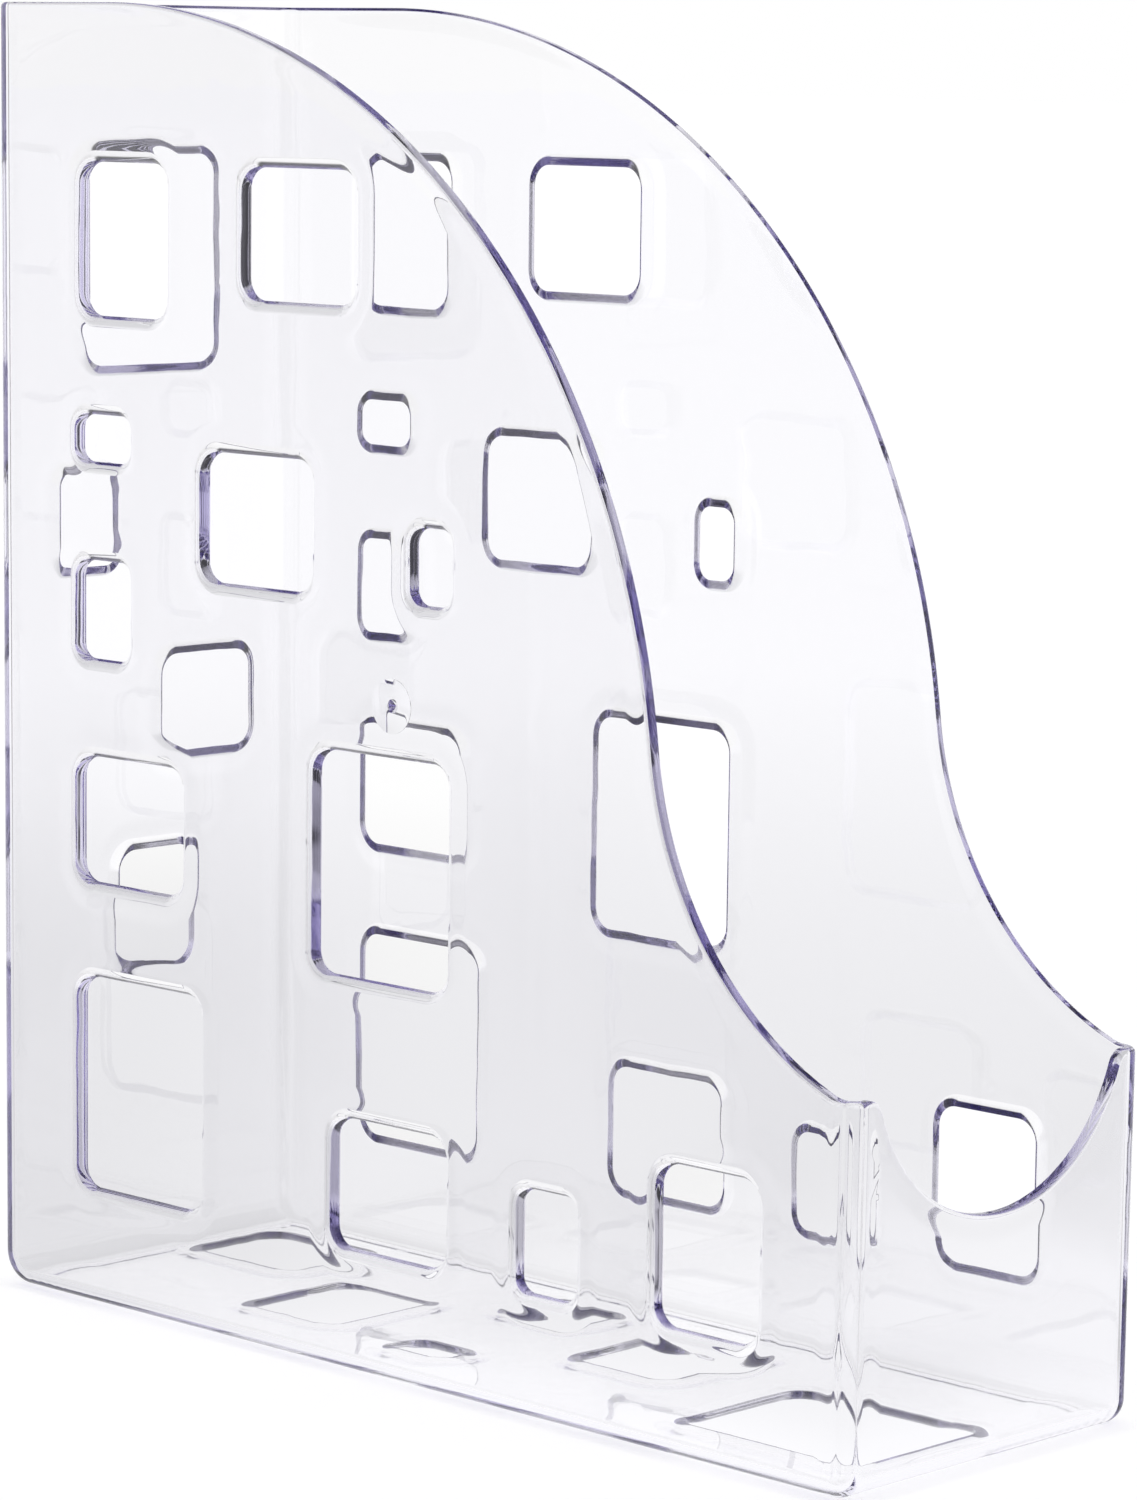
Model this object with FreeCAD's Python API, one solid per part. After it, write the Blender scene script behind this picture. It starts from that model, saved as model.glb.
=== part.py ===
import FreeCAD, Part
import math
import os

# Clear magazine rack: one thin-walled moulding with windows in four of its five walls.
# Frame: X is the width, Y the depth with the low front facing -Y, Z is up from the floor.
# Millimetres throughout. The moulding is divided at its corners into its five walls.

# ---- overall sizes -------------------------------------------------------------------
width = 93.0               # outside, over the two side walls
depth = 268.0              # outside, over the front wall and the back wall
height = 300.0             # of the back wall
front_height = 82.5        # of the front wall's shoulders
wall = 2.4                 # thickness of every wall

# ---- corners and lean ----------------------------------------------------------------
corner_radius = 4.5        # outside, on the upright corners and along the side walls' feet
toe_radius = 6.0           # outside, where the front wall turns into the base
heel_radius = 8.0          # outside, where the back wall turns into the base
least_inner_radius = 0.8   # an inside corner is never sharper than this
back_lean = 1.6            # the back wall's foot stands this far inside its top
front_lean = 0.6           # the front wall's foot stands this far inside its top

# ---- top edge of the side walls --------------------------------------------------------
flat_top = 39.0            # level stretch, from the back face to where the sweep starts
hollow_radius = 80.0       # of the hollow arc above the front shoulder
shoulder_rise = 21.5       # degrees at which the hollow arc leaves the shoulder
shoulder_blend = 8.0       # radius between the level shoulder and the hollow arc

# ---- finger notch in the front wall ----------------------------------------------------
notch_floor = 53.5         # lowest point of the notch, above the base's underside
notch_margin = 3.5         # from the upright corner's round to the notch's mouth
notch_lip_radius = 4.0     # rounds the notch's mouth into the shoulder

# ---- windows ---------------------------------------------------------------------------
# Each kind has its width, its height (on the base, its run along Y) and a corner radius.
large_across, large_tall = 40.5, 49.6
broad_across, broad_tall = 34.3, 29.1
upright_across, upright_tall = 27.5, 34.7
panel_long, panel_short = 28.5, 23.6
narrow_across, narrow_tall = 16.3, 22.6
slot_long, slot_short = 16.7, 10.8
window_corner = 5.0        # corner radius of the windows
slot_corner = 3.6          # corner radius of the narrow windows and the slots
rim_land = 0.5             # straight part of a window's edge, next to the inner face

LARGE = (large_across, large_tall, window_corner)
BROAD = (broad_across, broad_tall, window_corner)
UPRIGHT = (upright_across, upright_tall, window_corner)
PANEL_WIDE = (panel_long, panel_short, window_corner)
PANEL_TALL = (panel_short, panel_long, window_corner)
NARROW = (narrow_across, narrow_tall, slot_corner)
SLOT_WIDE = (slot_long, slot_short, slot_corner)
SLOT_TALL = (slot_short, slot_long, slot_corner)

# The layout spreads with its panel: each window's centre is given as a share of the
# panel, forward from the back face and up from the floor.
side_windows = [
    (0.1675, 0.8230, UPRIGHT), (0.3834, 0.8325, BROAD),
    (0.1417, 0.6722, SLOT_WIDE), (0.1425, 0.5414, NARROW),
    (0.3340, 0.6216, BROAD), (0.5402, 0.6016, SLOT_TALL),
    (0.1766, 0.3799, BROAD), (0.4836, 0.3777, LARGE),
    (0.1898, 0.1747, LARGE), (0.4965, 0.1414, BROAD),
    (0.6772, 0.1297, NARROW), (0.8488, 0.1499, UPRIGHT),
]
# Back wall: share of the width from the left side wall's face, share of the height.
back_windows = [
    (0.5080, 0.8010, LARGE), (0.2920, 0.5987, NARROW),
    (0.6950, 0.4465, PANEL_WIDE), (0.5100, 0.2836, PANEL_TALL),
]
# Base: share of the width from the left, share of the depth forward from the back.
base_windows = [
    (0.6880, 0.1190, UPRIGHT), (0.4090, 0.2980, BROAD),
    (0.2430, 0.4670, SLOT_TALL), (0.7380, 0.4540, NARROW),
    (0.6190, 0.6200, BROAD), (0.4030, 0.8590, LARGE),
]

# ---- gate mark on the left side wall ---------------------------------------------------
gate_forward, gate_up = 0.4985, 0.4993   # shares of the depth and the height
gate_dish_width = 11.0     # shallow round dish that keeps the gate's stub below the face
gate_dish_depth = 0.35
gate_stub_width = 2.0

# ---- worked out ------------------------------------------------------------------------
half_width = width / 2.0
front_face = -depth / 2.0                 # at the shoulders' height
back_face = depth / 2.0                   # at the back wall's top
rim_radius = wall - rim_land              # rounds each window's outer edge
side_split = half_width - corner_radius   # the side walls own the upright corners
toe_split = front_face + front_lean + toe_radius
heel_split = back_face - back_lean - heel_radius
reach = 10.0                              # by which a cutting tool runs past the faces


def at(y, z, x=0.0):
    return FreeCAD.Vector(x, y, z)


def front_line(z, inset):
    """Depth of the front wall's face at height z, moved inwards by inset."""
    slope = front_lean / front_height
    return front_face + slope * (front_height - z) + inset * math.hypot(1.0, slope)


def back_line(z, inset):
    """Depth of the back wall's face at height z, moved inwards by inset."""
    slope = back_lean / height
    return back_face - slope * (height - z) - inset * math.hypot(1.0, slope)


def arc(centre, radius, start, end):
    """Arc in the plane x = 0 about centre (y, z), between two angles in radians."""
    angles = (start, (start + end) / 2.0, end)
    points = [at(centre[0] + radius * math.cos(a), centre[1] + radius * math.sin(a)) for a in angles]
    return Part.Arc(*points).toShape()


def top_edge():
    """Edges of the side wall's top, from the shoulder back to the level stretch.

    A level shoulder turns by a small blend into the hollow arc, which meets the big sweep
    tangentially, and the sweep ends level. The sweep's radius follows from that: its centre
    lies below the start of the level stretch, both radii away from the hollow's centre.
    """
    rise = math.radians(shoulder_rise)
    shoulder_y = front_face + corner_radius
    blend = (shoulder_y, front_height + shoulder_blend)
    leaving_y = shoulder_y + shoulder_blend * math.sin(rise)
    leaving_z = blend[1] - shoulder_blend * math.cos(rise)
    hollow = (leaving_y - hollow_radius * math.sin(rise), leaving_z + hollow_radius * math.cos(rise))
    run = back_face - flat_top - hollow[0]
    drop = height - hollow[1]
    sweep_radius = (run ** 2 + drop ** 2 - hollow_radius ** 2) / (2.0 * (drop + hollow_radius))
    sweep = (back_face - flat_top, height - sweep_radius)
    meeting = math.atan2(sweep[1] - hollow[1], sweep[0] - hollow[0])

    down = -math.pi / 2.0
    return [
        Part.makeLine(at(front_face, front_height), at(shoulder_y, front_height)),
        arc(blend, shoulder_blend, down, down + rise),
        arc(hollow, hollow_radius, down + rise, meeting),
        arc(sweep, sweep_radius, math.pi + meeting, math.pi / 2.0),
        Part.makeLine(at(sweep[0], height), at(back_face, height)),
    ]


def outer_block():
    """Solid of the rack's outside: its side outline carried across the width."""
    front_foot = at(front_line(0.0, 0.0), 0.0)
    back_foot = at(back_line(0.0, 0.0), 0.0)
    edges = top_edge()
    edges.append(Part.makeLine(at(back_face, height), back_foot))
    edges.append(Part.makeLine(back_foot, front_foot))
    edges.append(Part.makeLine(front_foot, at(front_line(front_height, 0.0), front_height)))
    outline = Part.Face(Part.Wire(Part.__sortEdges__(edges)))
    outline.translate(FreeCAD.Vector(-half_width, 0, 0))
    return round_block(outline.extrude(FreeCAD.Vector(width, 0, 0)), 0.0)


def inner_block():
    """Solid of the space inside, with the outside's faces moved in by the wall."""
    top = height + reach
    corners = [at(front_line(wall, wall), wall), at(back_line(wall, wall), wall),
               at(back_line(top, wall), top), at(front_line(top, wall), top)]
    outline = Part.Face(Part.makePolygon(corners + corners[:1]))
    outline.translate(FreeCAD.Vector(wall - half_width, 0, 0))
    return round_block(outline.extrude(FreeCAD.Vector(width - 2.0 * wall, 0, 0)), wall)


def round_block(block, inset):
    """Rounds the toe, the heel, then the corners and feet along both side faces."""
    side = half_width - inset
    for radius, foot in ((toe_radius, front_line(inset, inset)), (heel_radius, back_line(inset, inset))):
        edges = [e for e in block.Edges if all(math.hypot(v.Y - foot, v.Z - inset) < 1e-4 for v in e.Vertexes)]
        block = block.makeFillet(max(radius - inset, least_inner_radius), edges)
    edges = [e for e in block.Edges if on_side(e, side) and on_corner(e, inset)]
    return block.makeFillet(max(corner_radius - inset, least_inner_radius), edges)


def on_side(edge, side):
    return all(abs(abs(v.X) - side) < 1e-4 for v in edge.Vertexes) and edge.BoundBox.XLength < 1e-3


def on_corner(edge, inset):
    """True for an edge of the front, back or base face, false for the open top's edges."""
    middle = edge.valueAt((edge.FirstParameter + edge.LastParameter) / 2.0)
    on_front = abs(middle.y - front_line(middle.z, inset)) < 1e-4
    on_back = abs(middle.y - back_line(middle.z, inset)) < 1e-4
    return on_front or on_back or middle.z < inset + max(toe_radius, heel_radius)


def window(kind):
    """Wire of a window about the origin of the plane x = 0: a rectangle with round corners."""
    across, tall, radius = kind
    y, z = across / 2.0, tall / 2.0
    edges = []
    for turn, (sy, sz) in enumerate(((1, 1), (-1, 1), (-1, -1), (1, -1))):
        centre = (sy * (y - radius), sz * (z - radius))
        start = turn * math.pi / 2.0
        edges.append(arc(centre, radius, start, start + math.pi / 2.0))
    sides = []
    for first, second in zip(edges, edges[1:] + edges[:1]):
        sides.append(Part.makeLine(first.valueAt(first.LastParameter), second.valueAt(second.FirstParameter)))
    return Part.Wire(Part.__sortEdges__(edges + sides))


def window_tools():
    """Prisms that cut the windows: along X for both side walls, along Y and Z for the rest."""
    tools = []
    for forward, up, kind in side_windows:
        tool = Part.Face(window(kind)).extrude(FreeCAD.Vector(width + 2.0 * reach, 0, 0))
        tool.translate(at(back_face - forward * depth, up * height, -half_width - reach))
        tools.append(tool)
    for across, up, kind in back_windows:
        tool = Part.Face(window(kind)).extrude(FreeCAD.Vector(2.0 * reach, 0, 0))
        tool.rotate(at(0, 0), FreeCAD.Vector(0, 0, 1), 90)
        tool.translate(at(back_face - reach, up * height, across * width - half_width))
        tools.append(tool)
    for across, forward, kind in base_windows:
        tool = Part.Face(window(kind)).extrude(FreeCAD.Vector(2.0 * reach, 0, 0))
        tool.rotate(at(0, 0), FreeCAD.Vector(0, 1, 0), 90)
        tool.rotate(at(0, 0), FreeCAD.Vector(0, 0, 1), 90)
        tool.translate(at(back_face - forward * depth, reach, across * width - half_width))
        tools.append(tool)
    return tools


def notch_tool():
    """Cylinder that cuts the finger notch: it touches the floor and both mouth corners."""
    mouth = side_split - notch_margin
    sag = front_height - notch_floor
    radius = (mouth ** 2 + sag ** 2) / (2.0 * sag)
    centre = FreeCAD.Vector(0, front_face - reach, notch_floor + radius)
    return Part.makeCylinder(radius, 2.0 * reach, centre, FreeCAD.Vector(0, 1, 0))


def round_notch(shell):
    """Rounds the two edges, through the front wall, where the notch meets the shoulders."""
    mouth = side_split - notch_margin
    edges = [e for e in shell.Edges if e.BoundBox.XLength < 1e-3
             and all(abs(abs(v.X) - mouth) < 1e-3 and abs(v.Z - front_height) < 1e-3 for v in e.Vertexes)]
    return shell.makeFillet(notch_lip_radius, edges)


def round_rims(shell):
    """Rounds the outer edge of every window; the inner edge stays sharp."""
    edges = []
    for face in shell.Faces:
        if not isinstance(face.Surface, Part.Plane):
            continue
        middle = face.CenterOfMass
        outside = (abs(abs(middle.x) - half_width) < 1e-4 or abs(middle.z) < 1e-4
                   or abs(middle.y - back_line(middle.z, 0.0)) < 1e-4)
        for wire in face.Wires:
            if outside and not wire.isSame(face.OuterWire):
                edges += wire.Edges
    return shell.makeFillet(rim_radius, edges)


def mark_gate(shell):
    """Leaves the gate's stub inside a shallow dish on the left side wall's outer face."""
    radius = (gate_dish_width ** 2 / 4.0 + gate_dish_depth ** 2) / (2.0 * gate_dish_depth)
    y = back_face - gate_forward * depth
    z = gate_up * height
    dish = Part.makeSphere(radius, at(y, z, -half_width + gate_dish_depth - radius))
    stub = Part.makeCylinder(gate_stub_width / 2.0, wall, at(y, z, -half_width), FreeCAD.Vector(1, 0, 0))
    return shell.cut(dish.cut(stub))


def moulding():
    shell = outer_block().cut(inner_block())
    shell = round_notch(shell.cut(notch_tool()))
    shell = round_rims(shell.cut(window_tools()))
    return mark_gate(shell)


def region(x0, x1, y0, y1):
    """Box over the full height that holds one wall."""
    return Part.makeBox(x1 - x0, y1 - y0, height + 2.0 * reach, FreeCAD.Vector(x0, y0, -reach))


def walls():
    shell = moulding()
    left, right = -half_width - reach, half_width + reach
    front, back = front_face - reach, back_face + reach
    return {
        "left_side_wall": shell.common(region(left, -side_split, front, back)),
        "right_side_wall": shell.common(region(side_split, right, front, back)),
        "front_wall": shell.common(region(-side_split, side_split, front, toe_split)),
        "base": shell.common(region(-side_split, side_split, toe_split, heel_split)),
        "back_wall": shell.common(region(-side_split, side_split, heel_split, back)),
    }


os.makedirs("parts", exist_ok=True)
for name, shape in walls().items():
    solid = shape.Solids[0]
    solid.exportStep("parts/" + name + ".step")
    print(name, len(shape.Solids), solid.isValid(), round(solid.Volume, 1), solid.BoundBox)
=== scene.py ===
import math

import bpy
import numpy as np
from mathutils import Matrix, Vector
from mathutils.geometry import delaunay_2d_cdt


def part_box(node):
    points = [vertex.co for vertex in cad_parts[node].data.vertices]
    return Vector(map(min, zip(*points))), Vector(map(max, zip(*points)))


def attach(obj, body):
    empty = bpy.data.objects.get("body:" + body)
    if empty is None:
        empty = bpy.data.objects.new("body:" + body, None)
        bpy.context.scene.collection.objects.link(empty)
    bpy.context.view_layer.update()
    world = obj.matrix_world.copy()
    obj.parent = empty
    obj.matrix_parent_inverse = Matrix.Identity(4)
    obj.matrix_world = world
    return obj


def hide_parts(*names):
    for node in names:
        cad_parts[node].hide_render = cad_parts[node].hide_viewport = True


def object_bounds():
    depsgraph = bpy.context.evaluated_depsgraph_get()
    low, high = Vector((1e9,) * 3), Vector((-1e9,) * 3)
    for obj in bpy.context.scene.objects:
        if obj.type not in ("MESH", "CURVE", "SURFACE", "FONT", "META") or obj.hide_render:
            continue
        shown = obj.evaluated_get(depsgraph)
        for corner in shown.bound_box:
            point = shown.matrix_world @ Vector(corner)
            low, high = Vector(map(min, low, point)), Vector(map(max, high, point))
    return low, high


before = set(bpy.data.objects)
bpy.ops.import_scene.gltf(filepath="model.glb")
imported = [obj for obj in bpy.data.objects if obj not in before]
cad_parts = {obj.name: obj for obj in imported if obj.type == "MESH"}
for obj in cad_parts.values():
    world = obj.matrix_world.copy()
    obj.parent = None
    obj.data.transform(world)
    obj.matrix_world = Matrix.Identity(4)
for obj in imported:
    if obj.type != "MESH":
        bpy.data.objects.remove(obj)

# Clear magazine rack: one thin-walled injection moulding in clear polystyrene.
# Shapes are worked out in millimetres, in the frame's axes, and written in metres.

cad_low, cad_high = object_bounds()
MM = 0.001

# ---- sizes, from the frame -------------------------------------------------------------
low, high = np.array(cad_low) / MM, np.array(cad_high) / MM
base_low, base_high = (np.array(corner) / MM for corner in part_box("base"))
width, depth, height = high - low
half_width = width / 2.0
front_face, back_face = low[1], high[1]
side_split = base_high[0]
wall = base_high[2]
front_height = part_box("front_wall")[1].z / MM
corner_radius = half_width - side_split
front_lean, back_lean = 0.6, 1.6
toe_radius = base_low[1] - front_face - front_lean
heel_radius = back_face - back_lean - base_high[1]

# ---- top edge of the side walls and the notch ------------------------------------------
flat_top = 39.0            # level stretch, from the back face to where the sweep starts
hollow_radius = 80.0       # of the hollow arc above the front shoulder
shoulder_rise = math.radians(21.5)      # at which the hollow arc leaves the shoulder
shoulder_blend = 8.0       # radius between the level shoulder and the hollow arc
notch_floor = 53.5         # lowest point of the notch
notch_margin = 3.5         # from the upright corner's round to the notch's mouth
notch_lip_radius = 4.0     # rounds the notch's mouth into the shoulder
brink_round = 1.2          # rounds the outer edge of the open top

# ---- windows: width, height and corner radius ------------------------------------------
LARGE, BROAD, UPRIGHT = (40.5, 49.6, 5.0), (34.3, 29.1, 5.0), (27.5, 34.7, 5.0)
PANEL_WIDE, PANEL_TALL = (28.5, 23.6, 5.0), (23.6, 28.5, 5.0)
NARROW, SLOT_WIDE, SLOT_TALL = (16.3, 22.6, 3.6), (16.7, 10.8, 3.6), (10.8, 16.7, 3.6)
rim_fall = 2.2             # how deep a window's bevel goes
rim_spread = 2.6           # how far the bevel runs over the face
RIM_POWER = 1.4            # its fullness: 1 is a straight bevel, 2 a round one

# Share of the depth forward from the back, share of the height.
side_windows = [
    (0.1675, 0.8230, UPRIGHT), (0.3834, 0.8325, BROAD),
    (0.1417, 0.6722, SLOT_WIDE), (0.1425, 0.5414, NARROW),
    (0.3340, 0.6216, BROAD), (0.5402, 0.6016, SLOT_TALL),
    (0.1766, 0.3799, BROAD), (0.4836, 0.3777, LARGE),
    (0.1898, 0.1747, LARGE), (0.4965, 0.1414, BROAD),
    (0.6772, 0.1297, NARROW), (0.8488, 0.1499, UPRIGHT),
]
# Share of the width from the left, share of the height.
back_windows = [
    (0.5080, 0.8010, LARGE), (0.2920, 0.5987, NARROW),
    (0.6950, 0.4465, PANEL_WIDE), (0.5100, 0.2836, PANEL_TALL),
]
# Share of the width from the left, share of the depth forward from the back.
base_windows = [
    (0.6880, 0.1190, UPRIGHT), (0.4090, 0.2980, BROAD),
    (0.2430, 0.4670, SLOT_TALL), (0.7380, 0.4540, NARROW),
    (0.6190, 0.6200, BROAD), (0.4030, 0.8590, LARGE),
]
side_holes = [(back_face - f * depth, u * height, k) for f, u, k in side_windows]
back_holes = [(a * width - half_width, u * height, k) for a, u, k in back_windows]
base_holes = [(a * width - half_width, back_face - f * depth, k) for a, f, k in base_windows]

# ---- gate mark on the left side wall ---------------------------------------------------
gate_forward, gate_up = 0.4985, 0.4993      # shares of the depth and the height
gate_y, gate_z = back_face - gate_forward * depth, gate_up * height
gate_dish_radius, gate_dish_depth = 6.0, 0.4
gate_pit_radius, gate_pit_depth = 1.55, 1.2


# ======================================= shape ==========================================

def front_line(z, inset):
    """Depth of the front wall's face at height z, moved inwards by inset."""
    slope = front_lean / front_height
    return front_face + slope * (front_height - z) + inset * math.hypot(1.0, slope)


def back_line(z, inset):
    """Depth of the back wall's face at height z, moved inwards by inset."""
    slope = back_lean / height
    return back_face - slope * (height - z) - inset * math.hypot(1.0, slope)


def turn(centre, radius, start, end, count):
    """Points c + r(cos a, sin a) and directions (cos a, sin a), a in even steps."""
    angles = np.linspace(start, end, count)
    way = np.stack([np.cos(angles), np.sin(angles)], axis=1)
    return np.array(centre) + radius * way, way


def straight(first, last, count):
    """count points in even steps from first to last."""
    share = np.linspace(0.0, 1.0, count)[:, None]
    return np.array(first) * (1.0 - share) + np.array(last) * share


FRONT_STEPS, TURN_STEPS, BASE_STEPS, BACK_STEPS = 9, 11, 41, 41


def side_line(inset, trim):
    """Side view (y, z) of front wall, toe, base, heel and back wall, and its normals.

    Two leaning lines and a level one, joined by arcs about the toe's and heel's centres,
    all moved in by inset; the ends are level, trim below the walls' tops.
    """
    front_slope, back_slope = front_lean / front_height, back_lean / height
    toe = (front_line(toe_radius, toe_radius), toe_radius)
    heel = (back_line(heel_radius, heel_radius), heel_radius)
    down = 1.5 * math.pi
    toe_arc, toe_way = turn(toe, toe_radius - inset, math.pi + math.atan(front_slope), down,
                            TURN_STEPS)
    heel_arc, heel_way = turn(heel, heel_radius - inset, down, 2.0 * math.pi - math.atan(back_slope),
                              TURN_STEPS)
    front_top = (front_line(front_height - trim, inset), front_height - trim)
    back_top = (back_line(height - trim, inset), height - trim)
    runs = [straight(front_top, toe_arc[0], FRONT_STEPS)[:-1], toe_arc,
            straight(toe_arc[-1], heel_arc[0], BASE_STEPS)[1:-1], heel_arc,
            straight(heel_arc[-1], back_top, BACK_STEPS)[1:]]
    ways = [np.repeat(toe_way[:1], FRONT_STEPS - 1, axis=0), toe_way,
            np.repeat(toe_way[-1:], BASE_STEPS - 2, axis=0), heel_way,
            np.repeat(heel_way[-1:], BACK_STEPS - 1, axis=0)]
    return np.concatenate(runs), np.concatenate(ways)


TOE = slice(FRONT_STEPS - 1, FRONT_STEPS - 1 + TURN_STEPS)
BASE_END = TOE.stop - 1 + BASE_STEPS - 1
HEEL = slice(BASE_END, BASE_END + TURN_STEPS)


BLEND_STEPS, HOLLOW_STEPS, SWEEP_STEPS, LEVEL_STEPS = 9, 41, 81, 9


def side_brink():
    """Top edge of a side wall (y, z), shoulder to back corner, and its outward normals.

    A small blend and the hollow arc, both seen from inside, then the big sweep, which
    meets the hollow tangentially and ends level at the flat stretch.
    """
    down = -math.pi / 2.0
    shoulder_y = front_line(front_height, corner_radius)
    blend = np.array([shoulder_y, front_height + shoulder_blend])
    away = np.array([math.sin(shoulder_rise), -math.cos(shoulder_rise)])
    hollow = blend + (shoulder_blend - hollow_radius) * away
    run, drop = back_face - flat_top - hollow[0], height - hollow[1]
    sweep_radius = (run ** 2 + drop ** 2 - hollow_radius ** 2) / (2.0 * (drop + hollow_radius))
    sweep = np.array([back_face - flat_top, height - sweep_radius])
    meeting = math.atan2(*(sweep - hollow)[::-1])
    first, first_way = turn(blend, shoulder_blend, down, down + shoulder_rise, BLEND_STEPS)
    second, second_way = turn(hollow, hollow_radius, down + shoulder_rise, meeting, HOLLOW_STEPS)
    third, third_way = turn(sweep, sweep_radius, math.pi + meeting, math.pi / 2.0, SWEEP_STEPS)
    level = straight(third[-1], (back_line(height, corner_radius), height), LEVEL_STEPS)[1:]
    points = np.concatenate([first, second[1:], third[1:], level])
    ways = np.concatenate([-first_way, -second_way[1:], third_way[1:],
                           np.repeat(third_way[-1:], len(level), axis=0)])
    return points, ways


LIP_STEPS, NOTCH_STEPS = 11, 61


def front_brink():
    """Top edge of the front wall (x, z) from left to right, and its outward normals.

    Level shoulders, lips turned about centres inside the wall, and the notch's arc.
    """
    mouth, sag = side_split - notch_margin, front_height - notch_floor
    radius = (mouth ** 2 + sag ** 2) / (2.0 * sag)
    centre = np.array([0.0, notch_floor + radius])
    lip_z = front_height - notch_lip_radius
    lip_x = math.sqrt((radius + notch_lip_radius) ** 2 - (centre[1] - lip_z) ** 2)
    ending = math.atan2(centre[1] - lip_z, lip_x)
    lip, lip_way = turn((-lip_x, lip_z), notch_lip_radius, math.pi / 2.0, ending, LIP_STEPS)
    arc, arc_way = turn(centre, radius, math.pi + ending, 2.0 * math.pi - ending, NOTCH_STEPS)
    start = np.array([[-side_split, front_height]])
    mirror = np.array([-1.0, 1.0])
    points = np.concatenate([start, lip, arc[1:-1], (lip * mirror)[::-1], start * mirror])
    up = np.array([[0.0, 1.0]])
    ways = np.concatenate([up, lip_way, -arc_way[1:-1], (lip_way * mirror)[::-1], up])
    return points, ways


CORNER_STEPS, ACROSS_STEPS = 13, 19
corner_angles = np.linspace(0.0, math.pi / 2.0, CORNER_STEPS)
across = np.linspace(-side_split, side_split, ACROSS_STEPS)     # over front, base and back


def brink(sunk, below):
    """The whole open top as one closed ring of points (x, y, z).

    sunk is the depth under the outer faces and below the distance under the top edge.
    It runs from the front's left corner along the notch to the right side wall, over its
    edge to the back, along the back wall and down the left side wall's edge again.
    """
    (notch, notch_way), (edge, edge_way) = front_brink(), side_brink()
    front = notch - below * notch_way
    side = edge - below * edge_way
    radius = corner_radius - sunk
    out = side_split + radius * np.cos(corner_angles)
    inset = corner_radius - radius * np.sin(corner_angles)
    low_z, high_z = front_height - below, height - below
    flat = np.ones_like(out)
    front_part = np.stack([front[:, 0], front_line(front[:, 1], sunk), front[:, 1]], axis=1)
    front_corner = np.stack([out, front_line(low_z, inset), low_z * flat], axis=1)[::-1]
    side_part = np.stack([np.full(len(side), half_width - sunk), side[:, 0], side[:, 1]], axis=1)
    back_corner = np.stack([out, back_line(high_z, inset), high_z * flat], axis=1)
    back_part = np.stack([across[::-1], np.full(len(across), back_line(high_z, sunk)),
                          np.full(len(across), high_z)], axis=1)
    mirror = np.array([-1.0, 1.0, 1.0])
    right = np.concatenate([front_corner[1:], side_part[1:], back_corner[1:]])
    return np.concatenate([front_part, right, back_part[1:], (right * mirror)[::-1][1:]])


def brink_normals():
    """For each point of brink(): the wall's outward normal and the edge's own normal."""
    (notch, notch_way), (edge, edge_way) = front_brink(), side_brink()
    nothing = lambda like: np.zeros(len(like))
    one = lambda like: np.ones(len(like))
    front_tilt = math.atan(front_lean / front_height)
    back_tilt = math.atan(back_lean / height)

    def round_corner(sign, tilt):
        c, s = np.cos(corner_angles), np.sin(corner_angles)
        return np.stack([c, sign * s * math.cos(tilt), -s * math.sin(tilt)], axis=1)

    wall_front = np.repeat([[0.0, -math.cos(front_tilt), -math.sin(front_tilt)]], len(notch), axis=0)
    wall_back = np.repeat([[0.0, math.cos(back_tilt), -math.sin(back_tilt)]], len(across), axis=0)
    wall_right = np.concatenate([round_corner(-1.0, front_tilt)[::-1][1:],
                                 np.repeat([[1.0, 0.0, 0.0]], len(edge) - 1, axis=0),
                                 round_corner(1.0, back_tilt)[1:]])
    up = lambda count: np.repeat([[0.0, 0.0, 1.0]], count, axis=0)
    edge_front = np.stack([notch_way[:, 0], nothing(notch), notch_way[:, 1]], axis=1)
    edge_side = np.stack([nothing(edge), edge_way[:, 0], edge_way[:, 1]], axis=1)
    edge_right = np.concatenate([up(CORNER_STEPS - 1), edge_side[1:], up(CORNER_STEPS - 1)])
    mirror = np.array([-1.0, 1.0, 1.0])
    walls = np.concatenate([wall_front, wall_right, wall_back[1:], (wall_right * mirror)[::-1][1:]])
    edges = np.concatenate([edge_front, edge_right, up(len(across) - 1),
                            (edge_right * mirror)[::-1][1:]])
    return walls, edges


WINDOW_CORNER_STEPS, WINDOW_SIDE_STEPS = 11, 8


def window_ring(kind, spread):
    """Closed ring of a rectangle with round corners, grown by spread, and its normals."""
    across_it, tall, radius = kind
    points, ways = [], []
    for quarter in range(4):
        start = quarter * math.pi / 2.0
        sx, sz = ((1, 1), (-1, 1), (-1, -1), (1, -1))[quarter]
        centre = (sx * (across_it / 2.0 - radius), sz * (tall / 2.0 - radius))
        arc, way = turn(centre, radius + spread, start, start + math.pi / 2.0, WINDOW_CORNER_STEPS)
        points.append(arc)
        ways.append(way)
    ring, ring_way = [], []
    for quarter in range(4):
        after = points[(quarter + 1) % 4]
        run = straight(points[quarter][-1], after[0], WINDOW_SIDE_STEPS)[1:-1]
        ring += [points[quarter], run]
        ring_way += [ways[quarter], np.repeat(ways[quarter][-1:], len(run), axis=0)]
    return np.concatenate(ring), np.concatenate(ring_way)


def round_rectangle_gap(flat, hole, spread):
    """Distance from points to a window grown by spread: |max(q, 0)| + min(max(q), 0) - r.

    q is how far a point lies past the corner circles' centres, along each axis.
    """
    u, v, (across_it, tall, radius) = hole
    q = np.abs(flat - np.array([u, v])) - np.array([across_it, tall]) / 2.0 + radius
    outside = np.linalg.norm(np.maximum(q, 0.0), axis=1)
    return outside + np.minimum(q.max(axis=1), 0.0) - radius - spread


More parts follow.
